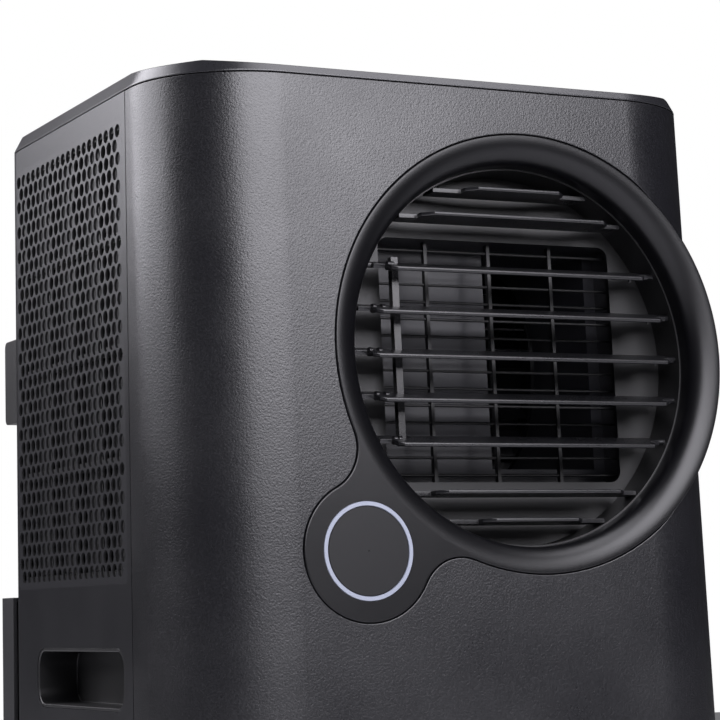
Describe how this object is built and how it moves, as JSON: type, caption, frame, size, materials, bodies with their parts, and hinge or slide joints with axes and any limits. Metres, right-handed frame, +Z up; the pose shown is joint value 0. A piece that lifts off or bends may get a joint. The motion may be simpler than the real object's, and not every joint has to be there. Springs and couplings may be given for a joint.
{
  "type": "portable air conditioner",
  "caption": "Upright portable air conditioner on castors with a round louvred front outlet, perforated sides, slide-out filters and a rear exhaust collar.",
  "frame": {"origin": "on the floor, below the centre of the bounding box", "axes": "+Z up, +X to the right seen from the front, the louvred front faces -Y"},
  "size_m": [0.42, 0.405, 0.773],
  "materials": {
    "front_skin": "fine grained charcoal moulding",
    "side_skin": "satin charcoal moulding",
    "cover_skin": "satin grey moulding",
    "bezel_skin": "satin near-black moulding",
    "dark_plastic": "plain black moulding",
    "duct_plastic": "dark grey moulding",
    "vane_plastic": "satin black moulding",
    "disc_plastic": "smooth dark touch face",
    "light_guide": "pale translucent light guide",
    "wheel_plastic": "white fan wheel moulding",
    "castor_plastic": "black nylon",
    "board": "green circuit board",
    "gauze": "fine black gauze",
    "fins": "bare fin stock",
    "motor_steel": "zinc plated steel",
    "shell_steel": "black enamel",
    "box_steel": "grey coated sheet steel",
    "copper": "bare copper tube",
    "screw_steel": "zinc plated screws",
    "soft_rubber": "black rubber"
  },
  "bodies": {
    "casing": {"base_tray": "dark_plastic", "front_panel": "front_skin", "side_panel_left": "side_skin", "side_panel_right": "side_skin", "rear_panel": "side_skin", "rear_cover": "side_skin", "top_cover": "cover_skin", "outlet_bezel": "bezel_skin", "outlet_barrel": "duct_plastic", "outlet_guard": "dark_plastic", "fixed_louvres": "vane_plastic", "vane_motor": "motor_steel", "touch_disc": "disc_plastic", "light_ring": "light_guide", "touch_board": "board", "side_grille_left": "side_skin", "side_grille_right": "side_skin", "grip_left": "dark_plastic", "grip_right": "dark_plastic", "deck_tray": "duct_plastic", "evaporator_left": "fins", "evaporator_right": "fins", "blower_housing": "duct_plastic", "blower_motor": "motor_steel", "condenser": "fins", "fan_housing": "duct_plastic", "exhaust_duct": "dark_plastic", "fan_motor": "motor_steel", "compressor": "shell_steel", "compressor_feet": "soft_rubber", "refrigerant_pipes": "copper", "electrical_box": "box_steel", "exhaust_collar": "dark_plastic", "intake_grille": "dark_plastic", "cable_gland": "dark_plastic", "case_screws": "screw_steel"},
    "vane_1": {"vane_1": "vane_plastic"},
    "vane_2": {"vane_2": "vane_plastic"},
    "vane_3": {"vane_3": "vane_plastic"},
    "vane_4": {"vane_4": "vane_plastic"},
    "vane_5": {"vane_5": "vane_plastic"},
    "link": {"vane_link": "dark_plastic"},
    "blower": {"blower_wheel": "wheel_plastic"},
    "fan": {"fan_wheel": "wheel_plastic"},
    "filter_left": {"filter_frame_left": "dark_plastic", "filter_mesh_left": "gauze"},
    "filter_right": {"filter_frame_right": "dark_plastic", "filter_mesh_right": "gauze"},
    "cap_upper": {"drain_cap_upper": "soft_rubber"},
    "cap_lower": {"drain_cap_lower": "soft_rubber"},
    "fork_fl": {"castor_fork_fl": "castor_plastic"},
    "wheel_fl": {"castor_wheel_fl": "castor_plastic"},
    "fork_fr": {"castor_fork_fr": "castor_plastic"},
    "wheel_fr": {"castor_wheel_fr": "castor_plastic"},
    "fork_rl": {"castor_fork_rl": "castor_plastic"},
    "wheel_rl": {"castor_wheel_rl": "castor_plastic"},
    "fork_rr": {"castor_fork_rr": "castor_plastic"},
    "wheel_rr": {"castor_wheel_rr": "castor_plastic"}
  },
  "joints": [
    {"name": "vane_3_turn", "type": "hinge", "parent": "casing", "child": "vane_3", "pos_m": [0.048, -0.15364, 0.57987], "axis": [1, 0, 0], "range_deg": [-46, 24]},
    {"name": "vane_1_turn", "type": "hinge", "parent": "casing", "child": "vane_1", "pos_m": [0.048, -0.15122, 0.63882], "axis": [1, 0, 0], "range_deg": [-46, 24]},
    {"name": "vane_2_turn", "type": "hinge", "parent": "casing", "child": "vane_2", "pos_m": [0.048, -0.15243, 0.60935], "axis": [1, 0, 0], "range_deg": [-46, 24]},
    {"name": "vane_4_turn", "type": "hinge", "parent": "casing", "child": "vane_4", "pos_m": [0.048, -0.15485, 0.5504], "axis": [1, 0, 0], "range_deg": [-46, 24]},
    {"name": "vane_5_turn", "type": "hinge", "parent": "casing", "child": "vane_5", "pos_m": [0.048, -0.15606, 0.52092], "axis": [1, 0, 0], "range_deg": [-46, 24]},
    {"name": "link_turn", "type": "hinge", "parent": "vane_3", "child": "link", "pos_m": [-0.04, -0.14684, 0.58152], "axis": [1, 0, 0], "range_deg": [-24, 46]},
    {"name": "blower_spin", "type": "hinge", "parent": "casing", "child": "blower", "pos_m": [0.098, 0.0545, 0.584], "axis": [1, 0, 0], "continuous": true},
    {"name": "fan_spin", "type": "hinge", "parent": "casing", "child": "fan", "pos_m": [0.02, 0.052, 0.178], "axis": [0, 1, 0], "continuous": true},
    {"name": "filter_left_slide", "type": "slide", "parent": "casing", "child": "filter_left", "axis": [0, 1, 0], "range_m": [0, 0.24]},
    {"name": "filter_right_slide", "type": "slide", "parent": "casing", "child": "filter_right", "axis": [0, 1, 0], "range_m": [0, 0.24]},
    {"name": "cap_upper_pull", "type": "slide", "parent": "casing", "child": "cap_upper", "axis": [0, 1, 0], "range_m": [0, 0.02]},
    {"name": "cap_lower_pull", "type": "slide", "parent": "casing", "child": "cap_lower", "axis": [0, 1, 0], "range_m": [0, 0.02]},
    {"name": "swivel_fl", "type": "hinge", "parent": "casing", "child": "fork_fl", "pos_m": [-0.162, -0.1365, 0.038], "axis": [0, 0, 1], "continuous": true},
    {"name": "roll_fl", "type": "hinge", "parent": "fork_fl", "child": "wheel_fl", "pos_m": [-0.162, -0.1245, 0.016], "axis": [1, 0, 0], "continuous": true},
    {"name": "swivel_fr", "type": "hinge", "parent": "casing", "child": "fork_fr", "pos_m": [0.162, -0.1365, 0.038], "axis": [0, 0, 1], "continuous": true},
    {"name": "roll_fr", "type": "hinge", "parent": "fork_fr", "child": "wheel_fr", "pos_m": [0.162, -0.1245, 0.016], "axis": [1, 0, 0], "continuous": true},
    {"name": "swivel_rl", "type": "hinge", "parent": "casing", "child": "fork_rl", "pos_m": [-0.162, 0.1265, 0.038], "axis": [0, 0, 1], "continuous": true},
    {"name": "roll_rl", "type": "hinge", "parent": "fork_rl", "child": "wheel_rl", "pos_m": [-0.162, 0.1385, 0.016], "axis": [1, 0, 0], "continuous": true},
    {"name": "swivel_rr", "type": "hinge", "parent": "casing", "child": "fork_rr", "pos_m": [0.162, 0.1265, 0.038], "axis": [0, 0, 1], "continuous": true},
    {"name": "roll_rr", "type": "hinge", "parent": "fork_rr", "child": "wheel_rr", "pos_m": [0.162, 0.1385, 0.016], "axis": [1, 0, 0], "continuous": true}
  ],
  "couplings": [
    {"joint": "vane_1_turn", "follows": "vane_3_turn", "ratio": 1},
    {"joint": "vane_2_turn", "follows": "vane_3_turn", "ratio": 1},
    {"joint": "vane_4_turn", "follows": "vane_3_turn", "ratio": 1},
    {"joint": "vane_5_turn", "follows": "vane_3_turn", "ratio": 1},
    {"joint": "link_turn", "follows": "vane_3_turn", "ratio": -1}
  ]
}
